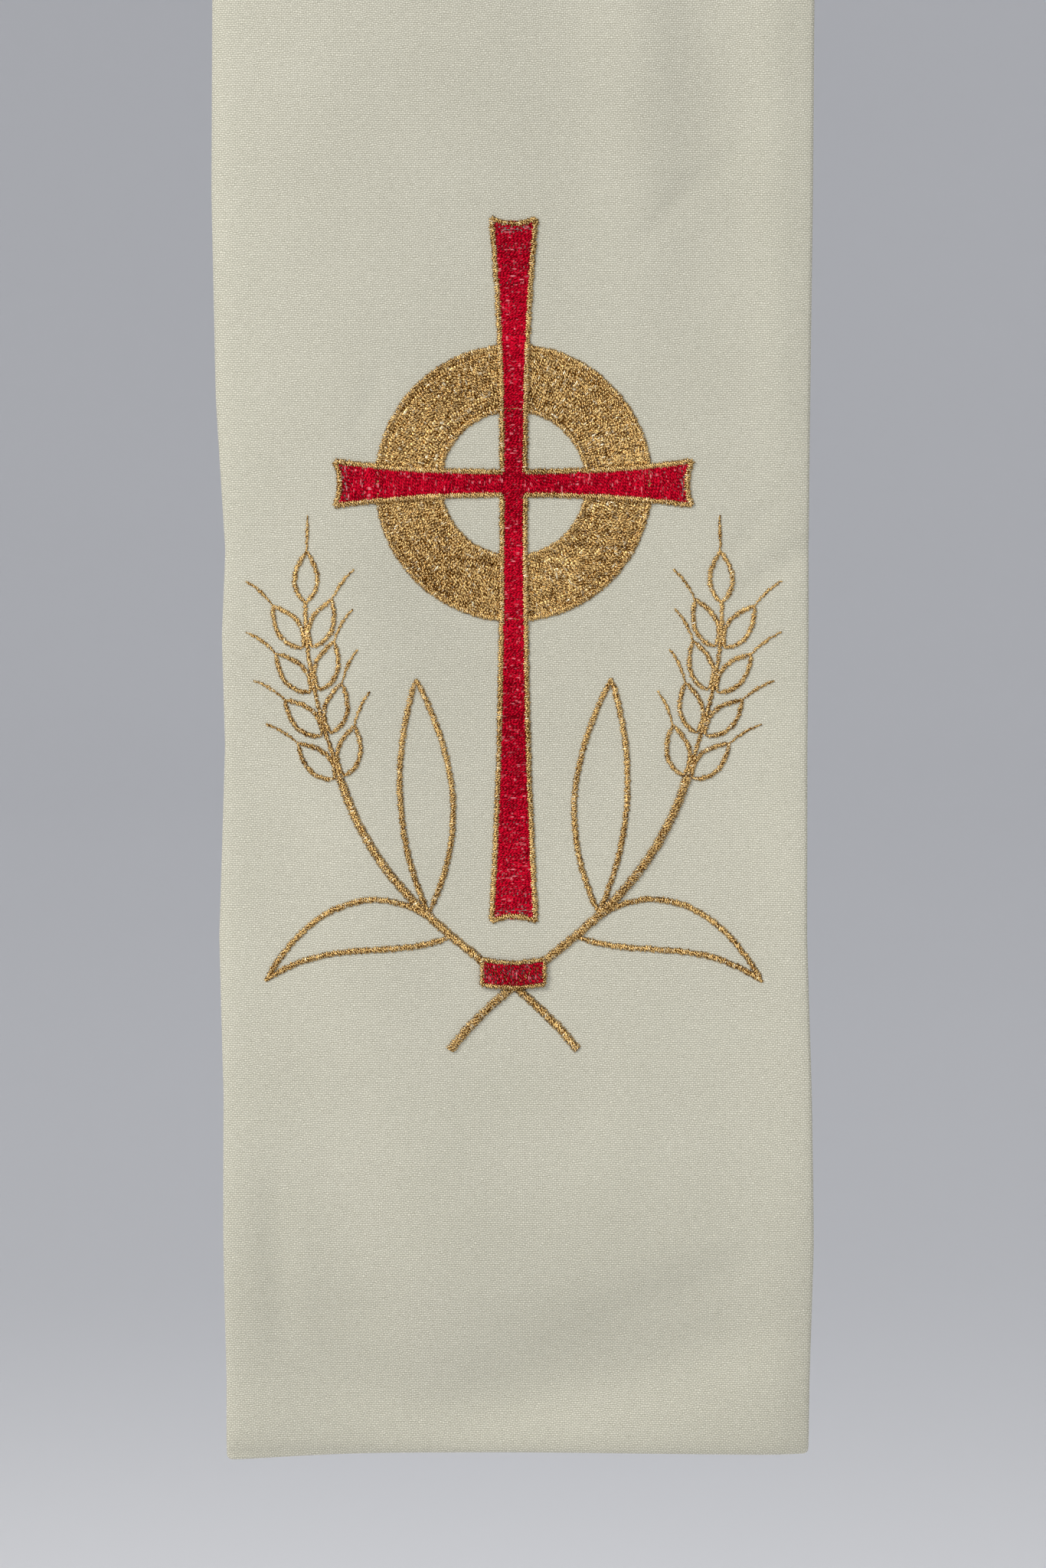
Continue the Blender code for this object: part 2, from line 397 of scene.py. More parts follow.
LEFT_FOLDS = folds(
    (330, -18, 190, 26, 24, 3.4),
    (395, 26, 210, 24, 13, -2.6),
    (560, -30, 330, 30, 4, -2.4),
    (700, 30, 380, 34, -3, 2.6),
    (905, 28, 300, 26, -2, -2.2),
    (1010, -46, 340, 26, 1, 1.9),
    (1281, 18, 90, 14, -74, -3.7),
    (1190, -54, 240, 15, 1, -1.3),
)
RIGHT_FOLDS = folds(
    (318, -10, 170, 24, 27, 3.1),
    (410, 30, 230, 26, 11, -2.9),
    (600, -26, 360, 32, -4, 2.5),
    (790, 24, 340, 30, 3, -2.6),
    (985, -34, 320, 28, 2, -2.1),
    (1085, 36, 300, 28, -4, 2.2),
    (1232, -14, 160, 22, -62, -2),
)

# %% The small creases, and the slow bends of the embroidered end
LEFT_CREASES = folds(
    (118, 14, 130, 13, -24, 1.5),
    (176, -18, 110, 9, -12, -1.2),
    (292, 26, 150, 9, 31, -1.9),
    (345, -31, 170, 10, 20, 2),
    (452, 7, 250, 12, 9, -2.4),
    (590, 27, 270, 12, 1, 2.5),
    (668, -38, 300, 11, -2, -2),
    (790, -4, 230, 12, 5, 1.9),
    (848, 46, 190, 9, -3, -1.3),
    (935, 31, 160, 13, 1, 2.4),
    (950, 43, 190, 13, 3, -1.4),
    (1175, 6, 250, 38, 0, -3),
    (990, 62, 190, 5.5, 1, 0.6),
    (1222, 0, 190, 60, 87, 7),
    (1330, 0, 260, 60, 87, -7),
    (1246, 0, 116, 24, 87, 1.2),
    (1252, -56, 46, 4.2, 3, -0.8),
    (1266, -38, 100, 17, 4, -2.8),
    (1268, -20, 70, 8, 84, -0.8),
    (1259, 38, 42, 6, -68, -0.8),
    (1088, 62, 26, 3.2, -58, -0.7),
    (1082, 54, 30, 2.6, -40, -0.3),
    (1118, -50, 26, 2.4, -16, -0.3),
    (1048, -34, 18, 2.2, -20, -0.28),
    (1004, 36, 24, 2.4, -38, -0.26),
    (998, 44, 26, 2.6, -46, -0.22),
    (1206, -40, 34, 4, 24, -0.25),
    (1215, 26, 50, 7, -14, 0.3),
    (1160, 8, 44, 5, 12, -0.22),
    (1138, 30, 40, 5, -20, 0.2),
    (930, -10, 120, 16, -4, 0.4),
    (1200, 73, 190, 16, 0, 4),
    (1290, 73, 84, 7.5, 0, -2),
    (1312, -14, 116, 30, 87, -2.6),
    (1282, -34, 90, 11, 84, -1.7),
)
RIGHT_CREASES = folds(
    (125, -8, 120, 12, -20, 1.4),
    (182, 22, 120, 10, -30, -1.3),
    (300, 22, 160, 9, 28, 1.8),
    (356, -26, 170, 10, 22, -2),
    (486, -6, 280, 13, 7, 2.4),
    (640, 34, 260, 11, -3, -2.2),
    (742, -34, 290, 12, 3, 2.1),
    (905, 8, 250, 12, -4, -1.8),
    (1064, -20, 220, 11, 4, 1.4),
    (1240, 50, 60, 4, -4, -0.5),
    (1262, -30, 60, 6, 72, -0.5),
    (1120, -48, 130, 7, 3, -0.6),
    (980, 20, 160, 8, -5, 0.5),
    (820, -20, 150, 9, 6, -0.5),
)
print("left band:", len(LEFT_FOLDS), "folds and", len(LEFT_CREASES), "creases")
print("right band:", len(RIGHT_FOLDS), "folds and", len(RIGHT_CREASES), "creases")

# %% How far the cloth stands out
HANG_BEGINS = 260.0
HANG_ENDS = 620.0
CROWN = 3.0
EDGE_ROLL = 1.8  # how far the inner edge and the hem roll back
EDGE_ROLL_WIDTH = 2.2
SWAY = 5.0
SWAY_LENGTH = 930.0


def relief(creases, across, along):
    """How far the cloth stands out from the figure, in millimetres."""
    hangs = smooth_step(HANG_BEGINS, HANG_ENDS, along)
    share = across / (band_width(along) / 2.0)
    crown = CROWN * (1.0 - share * share)
    sway = SWAY * np.sin(2.0 * math.pi * (along - TAPER_BEGINS) / SWAY_LENGTH)
    from_edge = (1.0 + share) * band_width(along) / 2.0
    from_hem = np.maximum(BAND_LENGTH - along, 0.0)
    roll = EDGE_ROLL * (np.exp(-from_edge / EDGE_ROLL_WIDTH) + np.exp(-from_hem / EDGE_ROLL_WIDTH))
    total = hangs * (crown + sway - roll)
    for fold in creases:
        turn = math.radians(fold.turn)
        down = along - fold.along
        side = across - fold.across
        lengthwise = down * math.cos(turn) + side * math.sin(turn)
        sideways = side * math.cos(turn) - down * math.sin(turn)
        ends = np.exp(-((lengthwise / (0.5 * fold.length)) ** 4))
        total = total + fold.depth * ends * np.exp(-((sideways / fold.width) ** 2))
    return total


hem_relief = relief(LEFT_FOLDS + LEFT_CREASES, 0.0, BAND_LENGTH)
print("the middle of the left hem stands out", round(float(hem_relief), 1), "mm")

# %% [markdown]
# Rolling the flat band over the figure
#
# The figure's roll is a straight back that leans, a round over the shoulder, a straight fall over the upper
# chest, and a second, wider round into the vertical. wrap puts a point of the flat band on that roll. Because
# the roll bends one way only, lengths in the cloth stay true.

# %% The figure's roll
SHOULDER_SLOPE = math.radians(27.0)
BACK_HEADING = math.pi / 2.0 - math.radians(11.0)
CHEST_FALL = math.radians(52.0)
CHEST_RUN = 58.0
RollPiece = namedtuple("RollPiece", "radius ends")
SHOULDER_ROUND = RollPiece(50.0, -CHEST_FALL)
CHEST_STRAIGHT = RollPiece(None, CHEST_RUN)
CHEST_ROUND = RollPiece(175.0, -math.pi / 2.0)


def shoulder_roll(distance):
    """Back, up and heading at distances along the roll, below 0 on the straight back."""
    heading = BACK_HEADING
    headings = np.full(np.shape(distance), heading)
    back = -np.minimum(distance, 0.0) * math.cos(heading)
    up = np.minimum(distance, 0.0) * math.sin(heading)
    left = np.maximum(distance, 0.0)
    for piece in (SHOULDER_ROUND, CHEST_STRAIGHT, CHEST_ROUND):
        length = piece.ends if piece.radius is None else piece.radius * (heading - piece.ends)
        used = np.minimum(left, length)
        left = left - used
        if piece.radius is None:
            back = back - used * math.cos(heading)
            up = up + used * math.sin(heading)
            continue
        turned = heading - used / piece.radius
        back = back - piece.radius * (math.sin(heading) - np.sin(turned))
        up = up + piece.radius * (np.cos(turned) - math.cos(heading))
        headings = np.minimum(headings, turned)
        heading = piece.ends
    return back, up - left, headings


print("1 m down the roll lies", [round(float(value), 1) for value in shoulder_roll(1000.0)[:2]])

# %% Rolling the flat band over it
START_SEARCH = (-500.0, 0.0)
START_HALVINGS = 60
SEAM_SEARCH = 160.0
SEAM_HALVINGS = 50
ALONG_SHOULDER = np.array((math.cos(SHOULDER_SLOPE), 0.0, -math.sin(SHOULDER_SLOPE)))
UP_FROM_SHOULDER = np.array((math.sin(SHOULDER_SLOPE), 0.0, math.cos(SHOULDER_SLOPE)))
TO_BACK = np.array((0.0, 1.0, 0.0))


class Band:
    """Where one band lies. side is 1 for the wearer's left and -1 for the right."""

    def __init__(self, side, creases):
        self.side = side
        self.creases = creases
        self.shift = np.zeros(3)
        self.find_start()
        notch = self.wrap_left(-NECK_WIDTH / 2.0, self.seam_start(-1.0, 0.0), 0.0)
        self.shift = -np.array((0.0, notch[1], notch[2]))

    def find_start(self):
        """Finds how low on the back the band starts, so that its middle meets the seam there."""
        low, high = START_SEARCH
        for _ in range(START_HALVINGS):
            self.start_over = (low + high) / 2.0
            over = self.start_over + BAND_LENGTH * math.cos(SHOULDER_SLOPE)
            up = float(shoulder_roll(np.array(over))[1])
            reached = (BAND_MIDDLE_X - up * math.sin(SHOULDER_SLOPE)) / math.cos(SHOULDER_SLOPE)
            self.start_along = reached - BAND_LENGTH * math.sin(SHOULDER_SLOPE)
            if self.wrap_left(0.0, 0.0, 0.0)[0] < SEAM_GAP / 2.0:
                low = self.start_over
            else:
                high = self.start_over

    def wrap_left(self, across, along, out):
        """Points of the flat band on the figure, in millimetres, for the wearer's left."""
        across, along, out = np.broadcast_arrays(across, along, out)
        over = self.start_over + along * math.cos(SHOULDER_SLOPE) - across * math.sin(SHOULDER_SLOPE)
        sideways = self.start_along + along * math.sin(SHOULDER_SLOPE) + across * math.cos(SHOULDER_SLOPE)
        back, up, heading = shoulder_roll(over)
        height = out + relief(self.creases, across, along)
        back = back + height * np.sin(heading)
        up = up + height * np.cos(heading)
        place = np.multiply.outer(sideways, ALONG_SHOULDER) + np.multiply.outer(back, TO_BACK)
        return place + np.multiply.outer(up, UP_FROM_SHOULDER) + self.shift

    def wrap(self, across, along, out):
        """The same points in metres, on this band's own side."""
        return self.wrap_left(across, along, out) * MM * (self.side, 1.0, 1.0)

    def seam_start(self, share, out):
        """How far along the band the seam lies, which is below 0 towards the outer edge."""
        share, out = np.broadcast_arrays(share, out)
        across = share * NECK_WIDTH / 2.0
        low = np.full(share.shape, -SEAM_SEARCH)
        high = np.full(share.shape, SEAM_SEARCH)
        for _ in range(SEAM_HALVINGS):
            middle = (low + high) / 2.0
            before = self.wrap_left(across, middle, out)[..., 0] < SEAM_GAP / 2.0
            low = np.where(before, middle, low)
            high = np.where(before, high, middle)
        return (low + high) / 2.0


LEFT = Band(1, LEFT_FOLDS + LEFT_CREASES)
RIGHT = Band(-1, RIGHT_FOLDS + RIGHT_CREASES)
print("left band starts", round(LEFT.start_over, 2), round(LEFT.start_along, 2), "mm on the roll")

# %% [markdown]
# The cloth
#
# A stole's band is face cloth over a firm interlining, with its edges turned under, so it is nearly 2 mm
# thick and its edges are round. A flat sheet with a Solidify modifier would give square edges. Here each row
# of the grid is a closed ring that runs over the front, round one edge, over the back and round the other,
# and the rows lie closest near the embroidery, where the camera looks.

# %% Rows and rings of the cloth
Stretch = namedtuple("Stretch", "until left_step right_step")
STRETCHES = (
    Stretch(6.0, 1.5, 1.5),
    Stretch(420.0, 5.0, 6.0),
    Stretch(930.0, 6.0, 9.0),
    Stretch(BAND_LENGTH - 6.0, 1.8, 4.0),
    Stretch(BAND_LENGTH - HALF_WALL, 0.75, 1.0),
)
SEAM_ROUND = ((0.0, 0.35), (0.3, 0.72), (0.8, 0.93))
SEAM_ROUND_ENDS = 1.5
HEM_TURNS = (0.4, 0.8, 1.2, 1.45)
EDGE_STEPS = 5


def row_table(side):
    """The distance of each row along the band, and the share of the full thickness that it has."""
    rows = list(SEAM_ROUND)
    distance = SEAM_ROUND_ENDS
    for stretch in STRETCHES:
        step = stretch.left_step if side == 1 else stretch.right_step
        count = max(1, round((stretch.until - distance) / step))
        rows += [(distance + (stretch.until - distance) * number / count, 1.0) for number in range(count)]
        distance = stretch.until
    rows += [(distance, 1.0)]
    rows += [(distance + HALF_WALL * math.sin(turn), math.cos(turn)) for turn in HEM_TURNS]
    return np.array(rows)


def ring_table(steps):
    """The ring's places: share across the band, and share of the half thickness, from front to back."""
    shares = np.linspace(-1.0, 1.0, steps + 1)
    turns = math.pi * np.arange(1, EDGE_STEPS + 1) / (EDGE_STEPS + 1)
    inset = 1.0 - 2.0 * HALF_WALL / HEM_WIDTH
    front = np.stack((shares * inset, np.ones(steps + 1)), 1)
    outer = np.stack((inset + (1.0 - inset) * np.sin(turns), np.cos(turns)), 1)
    return np.concatenate((front, outer, front[::-1] * (1.0, -1.0), outer * (-1.0, -1.0)))


print("rows:", len(row_table(1)), "on the left band,", len(row_table(-1)), "on the right")

# %% The faces of the cloth
CHUNKS_WIDE = 2
CHUNKS_HIGH = 3
CHUNK_MARGIN = 0.008


def cloth_faces(row_count, count, steps):
    """The faces of the closed shell: the quads of its wall, and what closes its two ends."""
    row = np.arange(row_count - 1)[:, None] * count
    place = np.arange(count)[None, :]
    after = (place + 1) % count
    wall = np.stack((row + place, row + after, row + count + after, row + count + place), -1).reshape(-1, 4)
    step = np.arange(steps)
    back = 2 * steps + 1 + EDGE_STEPS - step
    cap = [np.stack((step, step + 1, back - 1, back), 1)]
    turn = np.arange(1, EDGE_STEPS + 1)
    for first in (steps, 2 * steps + 1 + EDGE_STEPS):
        cap.append(np.stack((np.full(EDGE_STEPS, first), first + turn, first + turn + 1), 1) % count)
    seam_cap = [block[:, ::-1] for block in cap]
    hem_cap = [block + (row_count - 1) * count for block in cap]
    return [wall] + seam_cap + hem_cap


def unrolled_places(faces, rows, ring):
    """The wall unrolled and cut into six chunks of its length, side by side, as a map for a texture."""
    wall = faces[0]
    count = len(ring)
    closed = np.concatenate((ring, ring[:1])) * (HEM_WIDTH / 2.0, HALF_WALL)
    steps = np.linalg.norm(np.diff(closed, axis=0), axis=1)
    round_share = np.concatenate(([0.0], np.cumsum(steps))) / steps.sum()
    length_share = rows[:, 0] / rows[-1, 0] * CHUNKS_WIDE * CHUNKS_HIGH
    ring_place = wall % count
    closes = (ring_place.max(1) == count - 1) & (ring_place.min(1) == 0)
    ring_place = np.where(closes[:, None] & (ring_place == 0), count, ring_place)
    last_chunk = CHUNKS_WIDE * CHUNKS_HIGH - 1
    chunk = np.minimum(np.floor(length_share[wall.min(1) // count] + 1e-6), last_chunk)[:, None]
    down = np.clip(length_share[wall // count] - chunk, 0.0, 1.0)
    size = 1.0 - 2.0 * CHUNK_MARGIN
    u = (chunk % CHUNKS_WIDE + CHUNK_MARGIN + size * round_share[ring_place]) / CHUNKS_WIDE
    v = (chunk // CHUNKS_WIDE + CHUNK_MARGIN + size * down) / CHUNKS_HIGH
    cap_corners = sum(block.size for block in faces[1:])
    return np.concatenate((np.stack((u, v), -1).reshape(-1, 2), np.full((cap_corners, 2), 0.5)))


# %% The two bands of cloth
LEFT_COLUMNS = 80
RIGHT_COLUMNS = 48


def lay_cloth(name, band, steps):
    """Makes one band's cloth, and gives it with its flat length and area in metres."""
    rows = row_table(band.side)
    ring = ring_table(steps)
    distance, share = np.broadcast_arrays(rows[:, None, 0], ring[None, :, 0])
    out = HALF_WALL * rows[:, None, 1] * ring[None, :, 1]
    turning = rows[:, 0] < SQUARED_BY
    seam = np.zeros(distance.shape)
    seam[turning] = band.seam_start(share[turning], out[turning])
    early = 1.0 - smooth_step(0.0, SQUARED_BY, distance)
    late = smooth_step(BAND_LENGTH - HEM_DROP_HEIGHT, BAND_LENGTH, distance)
    along = distance + early * seam + late * HEM_DROP * ((1.0 - share) / 2.0) ** 4
    near_hem = np.clip(distance - BAND_LENGTH + HEM_CORNER, 0.0, HEM_CORNER)
    rounded_off = HEM_CORNER - np.sqrt(HEM_CORNER**2 - near_hem**2)
    across = across_at(along, share) - share * rounded_off
    points = band.wrap(across, along, out).reshape(-1, 3)
    faces = cloth_faces(len(rows), len(ring), steps)
    if band.side == 1:
        faces = [block[:, ::-1] for block in faces]
    corners = np.concatenate([block.ravel() for block in faces])
    flat = np.stack((across.ravel(), along.ravel()), 1)[corners]
    made = make_piece(name, points, faces, {"cloth": flat, "OFBake": unrolled_places(faces, rows, ring)})
    length = (BAND_LENGTH - float(seam.min())) * MM
    strip = float(band_width(np.arange(0.0, BAND_LENGTH)).sum())
    area = (strip - NECK_WIDTH * float(seam[0].mean())) * MM * MM
    return made, length, area


left_cloth, left_length, left_area = lay_cloth("left_cloth", LEFT, LEFT_COLUMNS)
right_cloth, right_length, right_area = lay_cloth("right_cloth", RIGHT, RIGHT_COLUMNS)
print("left cloth", triangle_count(left_cloth), "triangles, right cloth", triangle_count(right_cloth))
print("each band is", round(left_length, 3), "m long with", round(left_area, 4), "square metres of cloth")

# %% [markdown]
# Ivory cloth
#
# The cloth is a close plain weave: warp threads run down the band, 24 to the centimetre, and rounder weft
# threads cross it, 22 to the centimetre, over one and under one. Real threads would be millions of faces, so
# the weave is worked out from the flat position of each point, which wanders a little, because no thread lies
# quite straight. The round backs of the threads stand up, and every other crossing is higher. The backs are
# painted lighter and the gaps between them darker, deepest between the weft threads, as painted light and
# shade. Each thread also has its own tone, and a faint cloud lies over them all. The height also bends the
# light, through a Bump node.

# %% Ivory cloth
WARP_PITCH = 0.42  # millimetres, as the next two
WEFT_PITCH = 0.455
WANDER = 0.9
# The colours of the threads' lit backs and of the gaps between them, which are darker as painted shade
IVORY_LIGHT = (0.850, 0.822, 0.680, 1.0)
IVORY_GAP_SHADE = (0.285, 0.268, 0.192, 1.0)
WEAVE_HEIGHT = 0.12 * MM
WEFT_BACKS = 0.55  # how much of the weave's height each kind of rise gives, as the next two
WARP_BACKS = 0.32
CROSSINGS = 0.22
WEFT_TONES = 0.25  # how much of the tone each kind of change gives, as the next two
WARP_TONES = 0.16
CLOUD_TONES = 0.14
TONE_SHIFT = 0.265
FROM_THREAD_TO_THREAD = (7.37, 5.38)  # steps that put the noise of neighbouring threads far apart
ROUGHEST = 0.68
SMOOTHER_TOPS = 0.10
BUMP_SHARES = (0.75, 0.32, 0.20)  # of the weave's height and of the tones of weft and warp

ivory_cloth, tree, shader = new_material("ivory_cloth")
across, along = map_pair(tree, "cloth")
warp = (across + WANDER * noise(tree, across * 0.5, along * 0.5, 12.0)) / WARP_PITCH
weft = (along + WANDER * noise(tree, across * 0.5, along * 0.5, 20.0)) / WEFT_PITCH
warp_back = warp.wave().size()
weft_back = weft.wave().size()
over_under = warp.wave() * weft.wave()
warp_tone = noise(tree, warp.floor() * FROM_THREAD_TO_THREAD[0], along * 0.6, 3.0)
weft_tone = noise(tree, across * 0.9, weft.floor() * FROM_THREAD_TO_THREAD[1], 8.0)
cloud = noise(tree, across * 0.03, along * 0.03, 1.0, detail=2.0)
# The backs of the threads are painted lighter and the gaps darker, as painted light and shade on the weave;
# the tones of the threads and the cloud are the cloth's own
height = WEFT_BACKS * weft_back + WARP_BACKS * warp_back + CROSSINGS * over_under
tone = height + WEFT_TONES * weft_tone + WARP_TONES * warp_tone + CLOUD_TONES * cloud - TONE_SHIFT
ivory = mix_colour(tree, tone, IVORY_GAP_SHADE, IVORY_LIGHT)
ivory.feed(shader, "Base Color")
(ROUGHEST - SMOOTHER_TOPS * height).feed(shader, "Roughness")
thread_height = BUMP_SHARES[0] * height + BUMP_SHARES[1] * weft_tone + BUMP_SHARES[2] * warp_tone
bump(tree, 1.0, WEAVE_HEIGHT, thread_height).feed(shader, "Normal")
shader.inputs["Specular IOR Level"].default_value = 0.35
shader.inputs["Sheen Weight"].default_value = 0.12
shader.inputs["Sheen Roughness"].default_value = 0.4
for cloth in (left_cloth, right_cloth):
    cloth.data.materials.append(ivory_cloth)
print("the cloth's material has", len(tree.nodes), "nodes")

# %% [markdown]
# Two kinds of stitch
#
# Machine embroidery is nearly all made of two stitches. Satin stitch zigzags from one side of a narrow line
# to the other, so its ends make small teeth along both edges. Filling stitch covers a wider area in close
# rows of stitches a few millimetres long, each row starting at another place, like bricks. Under a filling
# lie lines of plain running stitch, which keep the cloth from showing between its rows. All are only lists of
# where a thread goes down into the cloth and comes up again, measured across the band and up from the hem.

# %% Lines for stitches
SATIN_ADVANCE = 0.26
RAGGED = 0.17
# How much brighter satin thread is coloured, as painted sheen
SATIN_PAINTED_SHEEN = 0.10


def bezier(start, pull_start, pull_end, end, count=80):
    """A smooth line from start to end, drawn toward two points between them."""
    share = np.linspace(0.0, 1.0, count)[:, None]
    rest = 1.0 - share
    first = rest**3 * np.array(start) + 3.0 * rest**2 * share * np.array(pull_start)
    return first + 3.0 * rest * share**2 * np.array(pull_end) + share**3 * np.array(end)


def evenly(path, step):
    """Points at even steps along a line, the directions to its left there, and how far along they lie."""
    lengths = np.concatenate(([0.0], np.cumsum(np.linalg.norm(np.diff(path, axis=0), axis=1))))
    count = max(3, int(round(lengths[-1] / step)) + 1)
    places = np.linspace(0.0, lengths[-1], count)
    points = np.stack([np.interp(places, lengths, path[:, axis]) for axis in (0, 1)], 1)
    heading = np.gradient(points, axis=0)
    heading = heading / np.linalg.norm(heading, axis=1)[:, None]
    return points, np.stack((-heading[:, 1], heading[:, 0]), 1), places


test_line = np.array(((0.0, 0.0), (0.0, 10.0)))
print("10 mm of a line take", len(evenly(test_line, SATIN_ADVANCE)[0]) - 1, "satin stitches")

# %% Two kinds of stitch
FILL_SPACING = 0.41
BRICK_STARTS = (0.35, 0.85, 0.6, 0.1)
SHORTEST_STITCH = 0.7
CUT_SPREAD = 0.12
FILL_WOBBLE = 0.025
UNDERLAY_STITCH = 4.0
UNDERLAY_OVERLAP = 0.1
UNDERLAY_BASE = -0.12
NARROWEST = 0.45  # the share of its width that a tapered line keeps at its ends

Stitches = namedtuple("Stitches", "starts ends base lift width")
Lay = namedtuple("Lay", "lift width")
SATIN_LAY = Lay(0.28, 0.36)
FILL_LAY = Lay(0.24, 0.41)
UNDERLAY_LAY = Lay(0.06, 1.05)


def stitch_set(starts, ends, base, lay):
    count = len(starts)
    return Stitches(starts, ends, np.full(count, base), np.full(count, lay.lift), np.full(count, lay.width))


def running(path):
    """One line of long flat stitches, which lies under the filling and keeps the cloth from showing."""
    points, _, _ = evenly(path, UNDERLAY_STITCH)
    overlap = UNDERLAY_OVERLAP * np.diff(points, axis=0)
    return stitch_set(points[:-1] - overlap, points[1:] + overlap, UNDERLAY_BASE, UNDERLAY_LAY)


def satin(path, width, base=0.12, taper=0.0):
    """Satin stitch along a line. taper is the length over which it narrows towards its ends."""
    points, leftward, places = evenly(np.asarray(path, float), SATIN_ADVANCE)
    half = np.full(len(points), width / 2.0)
    if taper:
        from_end = np.minimum(places, places[-1] - places)
        half = half * (NARROWEST + (1.0 - NARROWEST) * np.minimum(1.0, from_end / taper))
    half = half + chance.uniform(-RAGGED, RAGGED, len(points))
    side = np.where(np.arange(len(points)) % 2 == 0, 1.0, -1.0)
    edge = points + leftward * (half * side)[:, None]
    return stitch_set(edge[:-1], edge[1:], base, SATIN_LAY)


def filling(row_starts, row_ends, stitch, base=0.0):
    """Filling stitch in rows from row_starts to row_ends."""
    starts = []
    ends = []
    for number, (start, end) in enumerate(zip(row_starts, row_ends)):
        length = float(np.linalg.norm(end - start))
        offset = BRICK_STARTS[number % len(BRICK_STARTS)] * stitch
        cuts = np.arange(offset, length, stitch) + chance.uniform(-CUT_SPREAD, CUT_SPREAD)
        cuts = cuts[(cuts > SHORTEST_STITCH) & (cuts < length - SHORTEST_STITCH)]
        cuts = np.concatenate(([0.0], cuts, [length])) / max(length, 1e-6)
        places = start + np.multiply.outer(cuts, end - start)
        starts.append(places[:-1])
        ends.append(places[1:])
    starts = np.concatenate(starts)
    ends = np.concatenate(ends)
    wobble = chance.normal(0.0, FILL_WOBBLE, starts.shape)
    return stitch_set(starts + wobble, ends + wobble[::-1], base, FILL_LAY)


# %% [markdown]
# From stitch to thread
#
# A stitch is a short arch of thread: it comes up out of the cloth, lies over it and goes down again. Each one
# becomes a small closed tube of four rings and two points, wider than it is high, with its ends under the
# cloth. The cloth's own wrap function places it, so it follows every fold. All the stitches of one part of
# the design share one mesh. Each carries its own length and a tone, partly random and partly painted sheen:
# broad brighter and darker zones that change slowly over the design, as if the stitches met the light at
# other angles. The thread's finish reads both.

# %% One stitch of thread
RING_AT = np.array((0.08, 0.34, 0.66, 0.92))
RING_SIZE = np.array((0.66, 1.0, 1.0, 0.66))
SIDES = 5
ARCH_LENGTH = 0.7
END_DEPTH = 0.35
FLATNESS = 0.72
CELL_SIDE = 0.06  # the bare margins of each stitch's own cell in the texture map
CELL_END = 0.04


def stitch_template():
    """The faces of one stitch, and the share round it and along it of each corner of these faces."""
    side = np.arange(SIDES)
    after = (side + 1) % SIDES
    last = 1 + len(RING_AT) * SIDES
    stations = np.concatenate(([0.0], RING_AT, [1.0]))
    quads = []
    quad_maps = []
    for ring in range(len(RING_AT) - 1):
        low = 1 + ring * SIDES
        high = low + SIDES
        quads.append(np.stack((low + side, low + after, high + after, high + side), 1))
        round_shares = np.stack((side, side + 1, side + 1, side), 1) / SIDES
        lengths = np.broadcast_to(stations[[ring + 1, ring + 1, ring + 2, ring + 2]], (SIDES, 4))
        quad_maps.append(np.stack((round_shares, lengths), -1))
    top = 1 + (len(RING_AT) - 1) * SIDES
    start = np.stack((np.zeros(SIDES, int), 1 + after, 1 + side), 1)
    end = np.stack((top + side, top + after, np.full(SIDES, last)), 1)
    tip_maps = []
    for offsets, ends in (((0.5, 1, 0), (0, 1, 1)), ((0, 1, 0.5), (-2, -2, -1))):
        round_shares = (side[:, None] + np.array(offsets)) / SIDES
        lengths = np.broadcast_to(stations[list(ends)], (SIDES, 3))
        tip_maps.append(np.stack((round_shares, lengths), -1))
    return (
        (np.concatenate(quads), np.concatenate(quad_maps)),
        (np.concatenate((start, end)), np.concatenate(tip_maps)),
    )


def tiled(template_map, lengths, phases, columns, rows):
    """The thread map and the baked map of one kind of face, for all the stitches."""
    number = np.arange(len(lengths))
    share = template_map[None]
    round_share = np.broadcast_to(share[..., 0], (len(lengths),) + share.shape[1:3])
    along = share[..., 1] * lengths[:, None, None] + phases[:, None, None]
    thread = np.stack((round_share, along), -1)
    u = (number % columns)[:, None, None] + CELL_SIDE + (1.0 - 2.0 * CELL_SIDE) * share[..., 0]
    v = (number // columns)[:, None, None] + CELL_END + (1.0 - 2.0 * CELL_END) * share[..., 1]
    return thread.reshape(-1, 2), np.stack((u / columns, v / rows), -1).reshape(-1, 2)


print("one stitch has", sum(len(faces) for faces, _ in stitch_template()), "faces")

# %% Sewing
BASE_SPREAD = 0.04
LIFT_SPREAD = 0.15
WIDTH_SPREAD = 0.1
RANDOM_TONE = 0.7
# How much the broad zones of painted sheen add to the tone
PAINTED_SHEEN_SHARE = 0.22
PLAIN_TONE = 0.15
# Where the zones of painted sheen lie over the design, in the next three
PAINTED_SHEEN_PHASE = 1.2
PAINTED_SHEEN_ACROSS = 8.0
PAINTED_SHEEN_UP = 10.0
LONGEST_PHASE = 40.0
CELL_SHAPE = 1.1  # how wide a stitch's cell is in the texture, against its mean length


